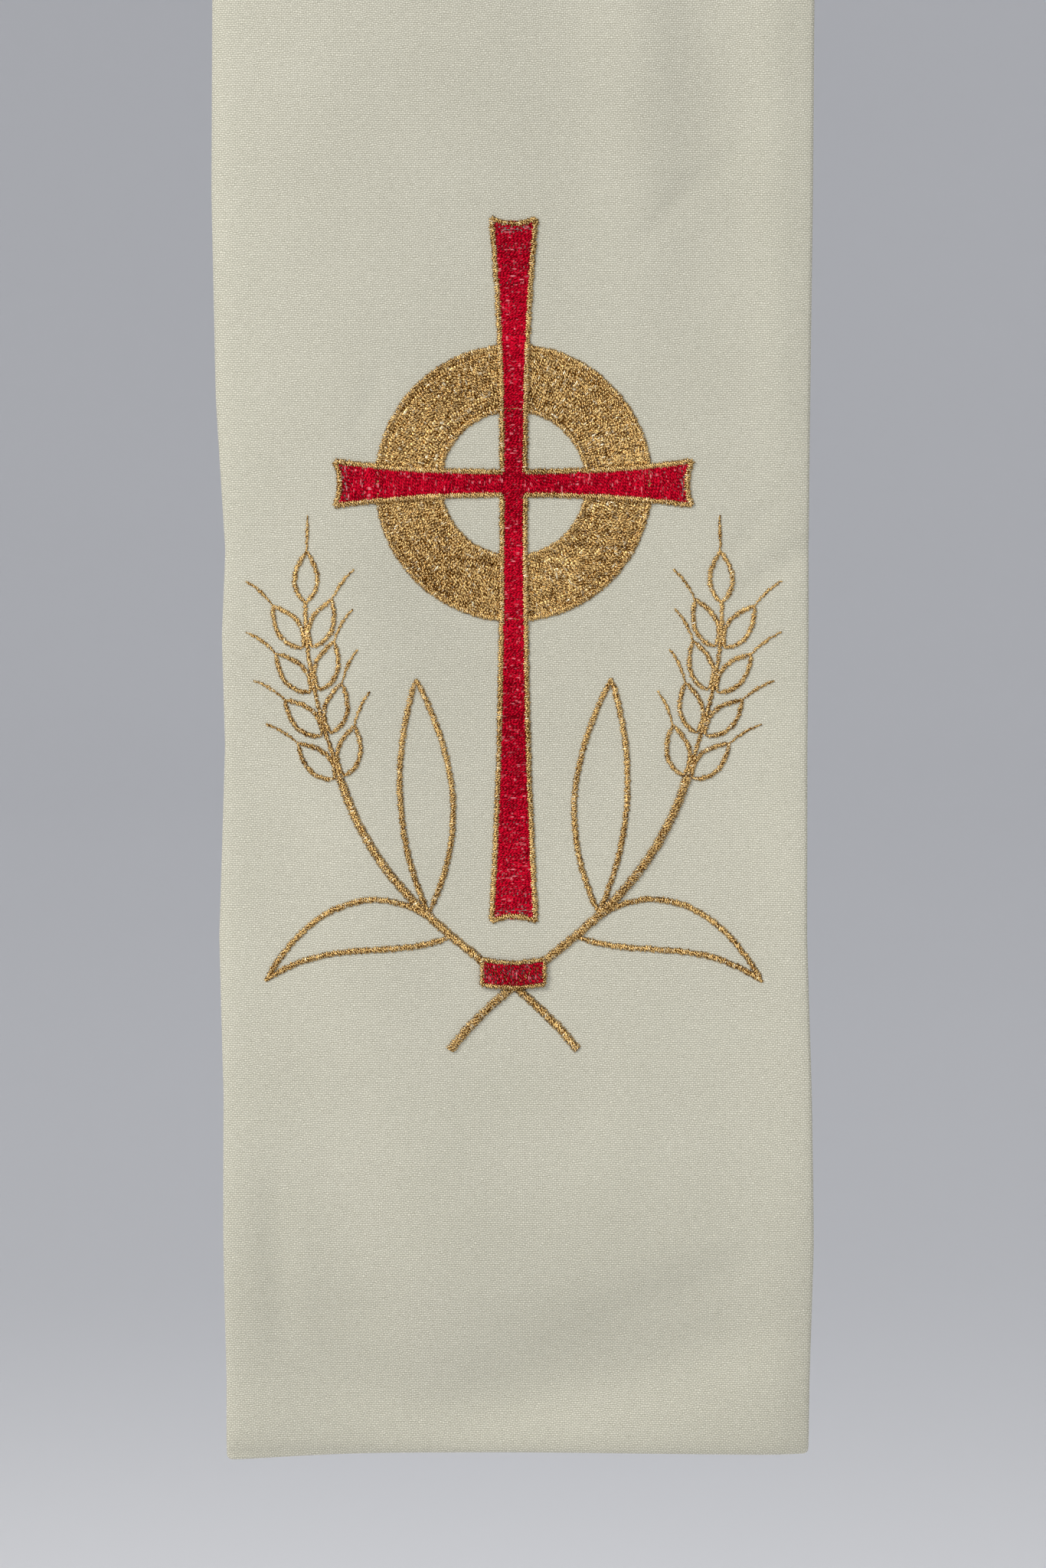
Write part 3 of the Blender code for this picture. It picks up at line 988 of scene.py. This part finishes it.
def sew(name, band, sets, material, under=None, painted_sheen=0.0):
    """Makes one mesh of thread from several sets of stitches. under gives the height of what is sewn
    already, at the middles of the stitches. The last number makes the thread's colour brighter, a painted
    sheen."""
    starts, ends, base, lift, width = (np.concatenate(column) for column in zip(*sets))
    count = len(starts)
    run = ends - starts
    lengths = np.maximum(np.linalg.norm(run, axis=1), 1e-3)
    heading = run / lengths[:, None]
    sideways = np.stack((-heading[:, 1], heading[:, 0]), 1)
    base = base + chance.uniform(-BASE_SPREAD, BASE_SPREAD, count)
    if under:
        base = base + under((starts + ends) / 2.0)
    lift = lift * chance.uniform(1.0 - LIFT_SPREAD, 1.0 + LIFT_SPREAD, count)
    width = width * chance.uniform(1.0 - WIDTH_SPREAD, 1.0 + WIDTH_SPREAD, count)
    roll = chance.uniform(0.0, 2.0 * math.pi, count)

    from_end = np.minimum(RING_AT, 1.0 - RING_AT)[None, :] * lengths[:, None]
    arch = base[:, None] + lift[:, None] * np.sqrt(np.minimum(1.0, from_end / ARCH_LENGTH))
    turn = roll[:, None] + 2.0 * math.pi * np.arange(SIDES)[None, :] / SIDES
    to_side = np.cos(turn) * width[:, None] / 2.0
    to_out = np.sin(turn) * width[:, None] / 2.0 * FLATNESS
    middle = starts[:, None, :] + run[:, None, :] * RING_AT[None, :, None]
    aside = RING_SIZE[:, None] * to_side[:, None, :]
    place = middle[:, :, None, :] + sideways[:, None, None, :] * aside[..., None]
    out = arch[:, :, None] + RING_SIZE[:, None] * to_out[:, None, :]
    place = np.concatenate((starts[:, None], place.reshape(count, -1, 2), ends[:, None]), 1)
    tip = np.full((count, 1), -END_DEPTH)
    out = np.concatenate((tip, out.reshape(count, -1), tip), 1)
    points = band.wrap(place[..., 0], BAND_LENGTH - place[..., 1], HALF_WALL + out).reshape(-1, 3)

    own = place.shape[1]
    phases = chance.uniform(0.0, LONGEST_PHASE, count)
    columns = math.ceil(math.sqrt(count * float(lengths.mean()) / CELL_SHAPE))
    rows = math.ceil(count / columns)
    faces = []
    thread_map = []
    baked_map = []
    for template, template_map in stitch_template():
        block = np.arange(count)[:, None, None] * own + template[None]
        faces.append(block.reshape(-1, template.shape[1]))
        thread, baked = tiled(template_map, lengths, phases, columns, rows)
        thread_map.append(thread)
        baked_map.append(baked)
    maps = {"thread": np.concatenate(thread_map), "OFBake": np.concatenate(baked_map)}
    made = make_piece(name, points, faces, maps)
    # Painted sheen: broad brighter and darker zones over the design, added to each stitch's random tone, with
    # satin thread brighter still
    painted_sheen_zones = np.sin(starts[:, 0] / PAINTED_SHEEN_ACROSS + PAINTED_SHEEN_PHASE) * np.sin(starts[:, 1] / PAINTED_SHEEN_UP)
    tone = RANDOM_TONE * chance.uniform(0.0, 1.0, count) + PAINTED_SHEEN_SHARE * painted_sheen_zones + PLAIN_TONE + painted_sheen
    tones = made.data.attributes.new("tone", "FLOAT", "POINT")
    tones.data.foreach_set("value", np.repeat(tone, own).astype(np.float32))
    made.data.materials.append(material)
    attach(made, "root")
    print(name, "has", count, "stitches and", triangle_count(made), "triangles")
    return made


# %% [markdown]
# Gold and red thread
#
# The gold is a metallic thread: a narrow foil wound round a core, so it glints in short slanting dashes and
# looks nearly brown where it turns away from the light. These highlights and this shade are painted into its
# colour. The red is rayon, smooth and glossy with a deep colour, with pale painted highlights. Both finishes
# are worked out from the thread's own map, round it and along it, so the painted marks run with each stitch
# whichever way it lies.

# %% Gold and red thread
# A finish's darker colour is both the thread's darker tone and painted shade, and its pale colour for rare
# spots is a painted highlight
ThreadFinish = namedtuple("ThreadFinish", "name dark light glint metallic gloss roughness twist height")
GOLD = ThreadFinish(
    name="gold_thread",
    dark=(0.115, 0.038, 0.001, 1.0),
    light=(1.00, 0.69, 0.280, 1.0),
    glint=(1.00, 0.88, 0.62, 1.0),
    metallic=1.0,
    gloss=0.5,
    roughness=0.36,
    twist=0.75,
    height=0.06 * MM,
)
RED = ThreadFinish(
    name="red_thread",
    dark=(0.200, 0.001, 0.006, 1.0),
    light=(0.800, 0.006, 0.034, 1.0),
    glint=(0.95, 0.27, 0.30, 1.0),
    metallic=0.0,
    gloss=0.06,
    roughness=0.36,
    twist=0.80,
    height=0.02 * MM,
)
# The next four weigh the stitch's tone, the twist and the small patches in the colour, where the twist and
# the patches paint highlights and shade; the two after them set the rare painted highlights
TONE_SHARE = 0.80
TWIST_GLINT_SHARE = 0.58
FLECK_SPARKLE_SHARE = 2.8
SHARE_SHIFT = 1.36
PAINTED_GLINT_GAIN = 7.0
PAINTED_GLINT_SHIFT = 4.3
ROUGHNESS_SPREAD = 0.22


def thread_material(finish):
    """The material of one thread: twist and small patches paint highlights and shade and bump it; rare spots
    are painted highlights.
    """
    material, tree, shader = new_material(finish.name)
    round_share, along = map_pair(tree, "thread")
    tone = Signal.node(tree, "ShaderNodeAttribute", {"attribute_name": "tone"}, {}, 2)
    # The twist, as painted highlights and shade along the thread and as a bump
    twist_relief_and_painted_glints = (2.0 * (along / finish.twist + round_share)).wave()
    # Small patches: painted sparkle in the colour, and also roughness and bumps
    fleck_bumps_and_painted_sparkle = noise(tree, round_share * 1.5, along * 1.7, tone * 30.0)
    share = TONE_SHARE * tone + TWIST_GLINT_SHARE * twist_relief_and_painted_glints + FLECK_SPARKLE_SHARE * fleck_bumps_and_painted_sparkle - SHARE_SHIFT
    # Rare spots painted paler, as painted highlights
    painted_glints = noise(tree, tone * 50.0, along * 0.55, round_share * 0.6)
    colour = mix_colour(tree, share, finish.dark, finish.light)
    colour = mix_colour(tree, PAINTED_GLINT_GAIN * painted_glints - PAINTED_GLINT_SHIFT, colour, finish.glint)
    colour.feed(shader, "Base Color")
    roughness = finish.roughness + ROUGHNESS_SPREAD * fleck_bumps_and_painted_sparkle - ROUGHNESS_SPREAD / 2.0
    roughness.feed(shader, "Roughness")
    bump(tree, 0.9, finish.height, 0.5 * twist_relief_and_painted_glints + fleck_bumps_and_painted_sparkle).feed(shader, "Normal")
    shader.inputs["Metallic"].default_value = finish.metallic
    shader.inputs["Specular IOR Level"].default_value = finish.gloss
    shader.inputs["Specular Tint"].default_value = finish.light
    return material


gold_thread = thread_material(GOLD)
red_thread = thread_material(RED)
print("threads:", gold_thread.name, "and", red_thread.name)

# %% [markdown]
# The design
#
# The embroidery fills a field about 125 mm wide and 197 mm high, from 98 mm above the hem. It is a
# traditional design, the same on both sides of its middle: a red cross edged in gold before a ring of gold,
# over two ears of wheat, four leaves and a red tie. What differs from side to side is only the thread. First
# comes the ring, because the cross is sewn over it. Its rows of filling stitch run outward like rays.

# %% The ring
CROSSING = np.array((0.0, 232.0))
RING_INNER = 17.5
RING_OUTER = 32.0
SATIN_WIDTH = 1.65
OUTLINE_BASE = 0.1
RING_THICKNESS = 0.34
SHORT_RAY_BEGINS = (20.5, 24.5)
SLIP = 1.7
SLIP_HEADING = math.radians(140.0)
UNDERLAY_SPACING = 0.7
ARM_HALF = 2.7  # half the width of the cross's arms, where the ring makes way for them
ARM_FLARE = 2.5
RAY_STITCH = 2.7


def ring_rows():
    """Where the rays of filling stitch begin and end, but for those that the cross covers. Every other ray
    begins further out, where there is room for it between its neighbours. On one side the rays end short of
    the outline, because the cloth slips a little as it is sewn."""
    pairs = int(math.pi * RING_OUTER / FILL_SPACING)
    turn = math.pi * np.arange(2 * pairs) / pairs
    ray = np.stack((np.cos(turn), np.sin(turn)), 1)
    begins = np.full(2 * pairs, RING_INNER - 0.3)
    begins[1::2] = chance.uniform(*SHORT_RAY_BEGINS, pairs)
    slip = np.maximum(0.0, np.cos(turn - SLIP_HEADING)) ** 2
    ends = RING_OUTER + 0.2 - SLIP * slip
    covered = np.minimum(np.abs(ray[:, 0]), np.abs(ray[:, 1])) * RING_OUTER < ARM_HALF - 0.5
    ray = ray[~covered]
    return CROSSING + ray * begins[~covered, None], CROSSING + ray * ends[~covered, None]


def ring_height(places):
    """How high the ring's thread stands above the cloth there."""
    from_crossing = np.linalg.norm(places - CROSSING, axis=1)
    from_middle = np.abs(from_crossing - (RING_INNER + RING_OUTER) / 2.0)
    half = (RING_OUTER - RING_INNER + SATIN_WIDTH) / 2.0
    return RING_THICKNESS * (1.0 - smooth_step(half - 0.2, half + 1.4, from_middle))


def circle(radius):
    turn = np.linspace(0.0, 2.0 * math.pi, 240)
    return CROSSING + radius * np.stack((np.cos(turn), np.sin(turn)), 1)


ring_starts, ring_ends = ring_rows()
underlay_radii = np.arange(RING_INNER + 0.4, RING_OUTER, UNDERLAY_SPACING)
ring_sets = [running(circle(radius)) for radius in underlay_radii]
ring_sets.append(filling(ring_starts, ring_ends, RAY_STITCH))
ring_fill = sew("ring_filling", LEFT, ring_sets, gold_thread)
ring_edges = [satin(circle(RING_INNER), SATIN_WIDTH), satin(circle(RING_OUTER), SATIN_WIDTH)]
ring_edge = sew("ring_edges", LEFT, ring_edges, gold_thread, painted_sheen=SATIN_PAINTED_SHEEN)

# %% [markdown]
# The cross
#
# The cross has a long foot, and arms that widen towards their ends. Its red filling runs across each arm, so
# the upright and the arms catch the light differently, though the thread is the same. Each side and each end
# of an arm has its own line of gold satin over the edge of the red.

# %% The cross
CrossArm = namedtuple("CrossArm", "across up length")
CROSS_ARMS = (
    CrossArm(0.0, 1.0, 62.0),
    CrossArm(0.0, -1.0, 103.0),
    CrossArm(1.0, 0.0, 42.0),
    CrossArm(-1.0, 0.0, 42.0),
)
END_HOLLOW = 1.6
RED_STITCH = 2.9
RED_SHARE = 0.96
RED_BASE = 0.05
SIDE_EDGE_BASE = 0.16
END_EDGE_BASE = 0.2
FLARE_POWER = 2.4
UNDERLAY_SHARES = np.linspace(-0.86, 0.86, 10)
UNDERLAY_SHORT = 5  # rows of filling beyond the end of the underlay


def arm_half_width(distance, length):
    return ARM_HALF + ARM_FLARE * (np.maximum(distance, 0.0) / length) ** FLARE_POWER


def arm_line(arm, side, distances):
    """Points at a share of the arm's half width to one side, at distances from the crossing."""
    along = np.array((arm.across, arm.up))
    sideways = np.array((-arm.up, arm.across))
    half = arm_half_width(distances, arm.length) * side
    return CROSSING + np.multiply.outer(distances, along) + np.multiply.outer(half, sideways)


cross_fill_sets = []
cross_edge_sets = []
for arm in CROSS_ARMS:
    begins = -ARM_HALF if arm.up > 0.0 else ARM_HALF
    distances = np.arange(begins, arm.length - 0.4, FILL_SPACING)
    for share in UNDERLAY_SHARES:
        cross_fill_sets.append(running(arm_line(arm, share, distances[:-UNDERLAY_SHORT])))
    row_starts, row_ends = (arm_line(arm, share, distances) for share in (-RED_SHARE, RED_SHARE))
    cross_fill_sets.append(filling(row_starts, row_ends, RED_STITCH, RED_BASE))
    edge_distances = np.linspace(ARM_HALF, arm.length, 60)
    for side in (-1.0, 1.0):
        cross_edge_sets.append(satin(arm_line(arm, side, edge_distances), SATIN_WIDTH, SIDE_EDGE_BASE))
    corner = arm_line(arm, -1.0, edge_distances)[-1]
    other = arm_line(arm, 1.0, edge_distances)[-1]
    hollow = np.array((arm.across, arm.up)) * END_HOLLOW
    pulls = [corner * (1.0 - share) + other * share - hollow for share in (0.3, 0.7)]
    cross_edge_sets.append(satin(bezier(corner, *pulls, other, 20), SATIN_WIDTH, END_EDGE_BASE))
cross_fill = sew("cross_filling", LEFT, cross_fill_sets, red_thread, ring_height)
cross_edge = sew("cross_edges", LEFT, cross_edge_sets, gold_thread, ring_height, SATIN_PAINTED_SHEEN)

# %% [markdown]
# The wheat
#
# Each ear is four pairs of grains and one more at its tip, on a stem that leans out from the tie. A grain is
# an outline, pointed at its top, with a fine awn. Drawing one grain and turning it along the ear's line is
# how an embroidery is digitised too, because the machine then sews each in the same order.

# %% The wheat
STEM_WIDTH = 2.4
GRAIN_LENGTH = 12.0
GRAIN_HALF_WIDTH = 2.7
GRAIN_SATIN = 1.3
GRAIN_TAPER = 1.5
GRAIN_TURN = math.radians(29.0)
AWN_LENGTH = 8.5
AWN_BEND = 2.0
AWN_SATIN = 0.9
AWN_TAPER = 4.0
AXIS_SATIN = 1.2
GRAIN_PAIRS = 4
GRAIN_OUT = 1.2
FINE_BASE = 0.05
STEM_OVER = 0.2


def mirrored(path, side):
    return path * (side, 1.0)


def turned(path, heading):
    """A path drawn up the page, turned so that up becomes this heading."""
    up = np.array((math.cos(heading), math.sin(heading)))
    right = np.array((up[1], -up[0]))
    return np.multiply.outer(path[:, 0], right) + np.multiply.outer(path[:, 1], up)


def grain(foot, heading, bend):
    """The stitches of one grain and its awn, which bends to the right by this much."""
    share = np.linspace(0.0, 1.0, 40)
    belly = GRAIN_HALF_WIDTH * np.sin(math.pi * share**0.85) ** 0.9
    one_side = np.stack((belly, GRAIN_LENGTH * share), 1)
    other_side = np.stack((-belly, GRAIN_LENGTH * share), 1)
    awn = bezier((0.0, 0.0), (0.0, 0.3 * AWN_LENGTH), (0.3 * bend, 0.7 * AWN_LENGTH), (bend, AWN_LENGTH), 20)
    awn = awn + (0.0, GRAIN_LENGTH)
    return [
        satin(foot + turned(one_side, heading), GRAIN_SATIN, OUTLINE_BASE, GRAIN_TAPER),
        satin(foot + turned(other_side, heading), GRAIN_SATIN, OUTLINE_BASE, GRAIN_TAPER),
        satin(foot + turned(awn, heading), AWN_SATIN, FINE_BASE, AWN_TAPER),
    ]


def ear_of_wheat(side):
    """The stitches of one ear and its stem. The stem of side 1 lies over the other where they cross."""
    stem = mirrored(bezier((-15.0, 99.0), (2.0, 121.0), (30.0, 128.0), (41.0, 163.0)), side)
    axis = mirrored(bezier((41.0, 163.0), (44.5, 174.0), (49.5, 188.0), (49.0, 204.0)), side)
    sets = [satin(stem, STEM_WIDTH, OUTLINE_BASE + STEM_OVER * (side > 0))]
    points, leftward, _ = evenly(axis, 0.5)
    for pair in range(GRAIN_PAIRS + 1):
        number = min(len(points) - 1, int(round(pair * (len(points) - 1) / GRAIN_PAIRS)))
        across_line = leftward[number]
        heading = math.atan2(-across_line[0], across_line[1])
        if pair == GRAIN_PAIRS:
            sets += grain(points[number], heading, 0.0)
            continue
        for lean in (-1.0, 1.0):
            foot = points[number] + across_line * lean * GRAIN_OUT
            sets += grain(foot, heading + lean * GRAIN_TURN, -lean * AWN_BEND)
    sets.append(satin(axis, AXIS_SATIN, FINE_BASE))
    return sets


wheat_pieces = []
for name, side in (("right_wheat", 1.0), ("left_wheat", -1.0)):
    wheat_pieces.append(sew(name, LEFT, ear_of_wheat(side), gold_thread, painted_sheen=SATIN_PAINTED_SHEEN))

# %% [markdown]
# Leaves and tie
#
# The leaves are outlines, like most of the design, and leave the ivory cloth to show. The red tie goes over
# both stems where they cross.

# %% Leaves and tie
Leaf = namedtuple("Leaf", "foot upper_pulls lower_pulls tip")
LEAVES = (
    Leaf((15.0, 125.5), ((26.0, 138.0), (45.0, 139.0)), ((27.0, 120.0), (44.0, 126.0)), (58.5, 115.0)),
    Leaf((20.0, 131.0), ((11.0, 150.0), (13.0, 166.0)), ((28.0, 148.0), (29.0, 167.0)), (23.0, 186.0)),
)
TIE_MIDDLE = np.array((0.0, 116.5))
TIE_HALF_WIDTH = 7.5
TIE_HALF_HEIGHT = 2.9
TIE_BOW = 0.8
TIE_BASE = 0.6
TIE_EDGE_BASE = 0.75
TIE_EDGE_WIDTH = 1.3
LEAF_TAPER = 2.5

leaf_sets = []
for side in (1.0, -1.0):
    for leaf in LEAVES:
        for pulls in (leaf.upper_pulls, leaf.lower_pulls):
            path = mirrored(bezier(leaf.foot, *pulls, leaf.tip), side)
            leaf_sets.append(satin(path, SATIN_WIDTH, OUTLINE_BASE, LEAF_TAPER))
leaves = sew("leaves", LEFT, leaf_sets, gold_thread, painted_sheen=SATIN_PAINTED_SHEEN)

tie_across = np.arange(-TIE_HALF_WIDTH, TIE_HALF_WIDTH, FILL_SPACING)
tie_bow = TIE_BOW * (tie_across / TIE_HALF_WIDTH) ** 2
tie_low = TIE_MIDDLE + np.stack((tie_across, tie_bow - TIE_HALF_HEIGHT), 1)
tie_high = TIE_MIDDLE + np.stack((tie_across, tie_bow + TIE_HALF_HEIGHT), 1)
tie_fill = sew("tie_filling", LEFT, [filling(tie_low, tie_high, RED_STITCH, TIE_BASE)], red_thread)
tie_sides = [np.stack((tie_low[end], tie_high[end])) for end in (0, -1)]
tie_outline = (tie_low, tie_high, *tie_sides)
tie_edge_sets = [satin(path, TIE_EDGE_WIDTH, TIE_EDGE_BASE) for path in tie_outline]
tie_edge = sew("tie_edges", LEFT, tie_edge_sets, gold_thread, painted_sheen=SATIN_PAINTED_SHEEN)

# %% [markdown]
# The cloth in place of the solids
#
# Each cloth stands for one solid of the frame, and rides on the same body. The solid itself is hidden.

# %% The cloth in place of the solids
embroidery = [ring_fill, ring_edge, cross_fill, cross_edge, *wheat_pieces, leaves, tie_fill, tie_edge]
for cloth, node, length, area, sewn in (
    (left_cloth, "left_band", left_length, left_area, embroidery),
    (right_cloth, "right_band", right_length, right_area, []),
):
    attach(cloth, "root")
    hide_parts(node)

total = sum(triangle_count(piece) for piece in [left_cloth, right_cloth, *embroidery])
print("the whole stole has", total, "triangles")
